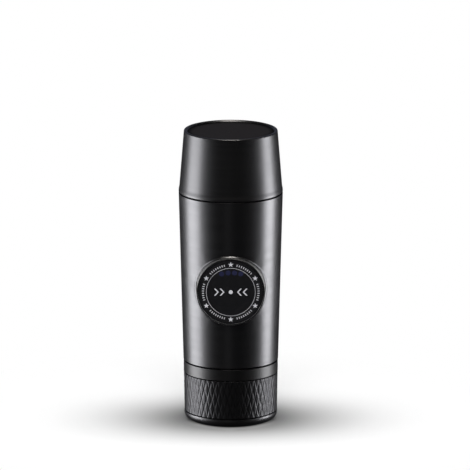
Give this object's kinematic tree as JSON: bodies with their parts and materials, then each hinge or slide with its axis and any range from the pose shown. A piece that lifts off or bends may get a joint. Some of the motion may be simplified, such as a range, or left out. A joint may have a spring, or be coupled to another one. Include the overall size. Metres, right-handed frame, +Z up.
{
  "type": "espresso maker",
  "caption": "Hand-pumped portable capsule espresso maker: tapered black cylinder with a cup for a cap, a large round pump button and a knurled water tank that unscrews.",
  "frame": {"origin": "on the floor under the axis of the cylinder", "axes": "+Z up along the axis, -Y towards the front with the pump button, +X to the right as seen from the front"},
  "size_m": [0.07, 0.0702, 0.1996],
  "materials": {
    "black_anodised": "satin black anodised, turned",
    "knurled_black": "satin black anodised, knurled",
    "cup_plastic": "satin",
    "disc_plastic": "matte",
    "frame_plastic": "satin",
    "tank_plastic": "smoked, glossy",
    "silicone": "matte",
    "black_rubber": "matte",
    "stainless": "satin",
    "brass": "plain",
    "white_plastic": "satin",
    "button_black": "gloss",
    "button_print": "gloss, printed"
  },
  "bodies": {
    "tank": {"water_tank": "tank_plastic", "vent_valve": "silicone", "tank_ring": "black_anodised", "knurled_grip": "knurled_black", "base_cap": "black_anodised", "foot_pad": "black_rubber"},
    "tank_seal": {"tank_seal": "black_rubber"},
    "main_body": {"body_shell": "black_anodised", "brew_chamber": "frame_plastic", "cup_seal": "black_rubber", "capsule_basket": "stainless", "basket_gasket": "silicone", "needle_plate": "stainless", "channel_plug": "brass", "pump_housing": "frame_plastic", "pump_cylinder": "stainless", "cylinder_seal": "black_rubber", "return_spring": "stainless", "valve_block": "white_plastic", "valve_block_seals": "black_rubber", "outlet_seat": "brass", "valve_cap": "brass", "inlet_spring": "stainless", "outlet_spring": "stainless", "tank_socket": "frame_plastic", "inlet_filter": "stainless", "frame_screws": "stainless"},
    "cup": {"cup_shell": "black_anodised", "cup_liner": "cup_plastic", "cup_base_disc": "disc_plastic"},
    "head_gasket": {"head_gasket": "silicone"},
    "outlet_head": {"outlet_head": "frame_plastic", "outlet_screen": "stainless", "spout": "frame_plastic"},
    "plunger": {"plunger": "white_plastic", "plunger_seal": "black_rubber", "plunger_screw": "stainless"},
    "button": {"button_cap": "button_black", "button_face": "button_print"},
    "inlet_ball": {"inlet_ball": "stainless"},
    "outlet_ball": {"outlet_ball": "stainless"}
  },
  "joints": [
    {"name": "body_rise", "type": "slide", "parent": "tank", "child": "tank_seal", "axis": [0, 0, 1], "range_m": [0, 0.008]},
    {"name": "body_turn", "type": "hinge", "parent": "tank_seal", "child": "main_body", "pos_m": [0, 0, 0.05], "axis": [0, 0, 1], "range_deg": [0, 720]},
    {"name": "cup_lift", "type": "slide", "parent": "main_body", "child": "cup", "axis": [0, 0, 1], "range_m": [0, 0.05]},
    {"name": "head_rise", "type": "slide", "parent": "main_body", "child": "head_gasket", "axis": [0, 0, 1], "range_m": [0, 0.008]},
    {"name": "head_turn", "type": "hinge", "parent": "head_gasket", "child": "outlet_head", "pos_m": [0, 0, 0.17], "axis": [0, 0, 1], "range_deg": [0, 720]},
    {"name": "button_press", "type": "slide", "parent": "main_body", "child": "plunger", "axis": [0, -1, 0], "range_m": [0, 0.018], "deforming": ["return_spring"]},
    {"name": "button_twist", "type": "hinge", "parent": "plunger", "child": "button", "pos_m": [0, -0.03, 0.096], "axis": [0, -1, 0], "range_deg": [0, 40]},
    {"name": "inlet_ball_lift", "type": "slide", "parent": "main_body", "child": "inlet_ball", "axis": [0, 0, 1], "range_m": [0, 0.0015], "stiffness_N_per_m": 30, "springref_m": -0.002, "deforming": ["inlet_spring"]},
    {"name": "outlet_ball_lift", "type": "slide", "parent": "main_body", "child": "outlet_ball", "axis": [0, 0, 1], "range_m": [0, 0.0015], "stiffness_N_per_m": 30, "springref_m": -0.002, "deforming": ["outlet_spring"]}
  ],
  "couplings": [
    {"joint": "body_turn", "follows": "body_rise", "rad_per_m": 1570.8},
    {"joint": "head_turn", "follows": "head_rise", "rad_per_m": 1570.8}
  ]
}
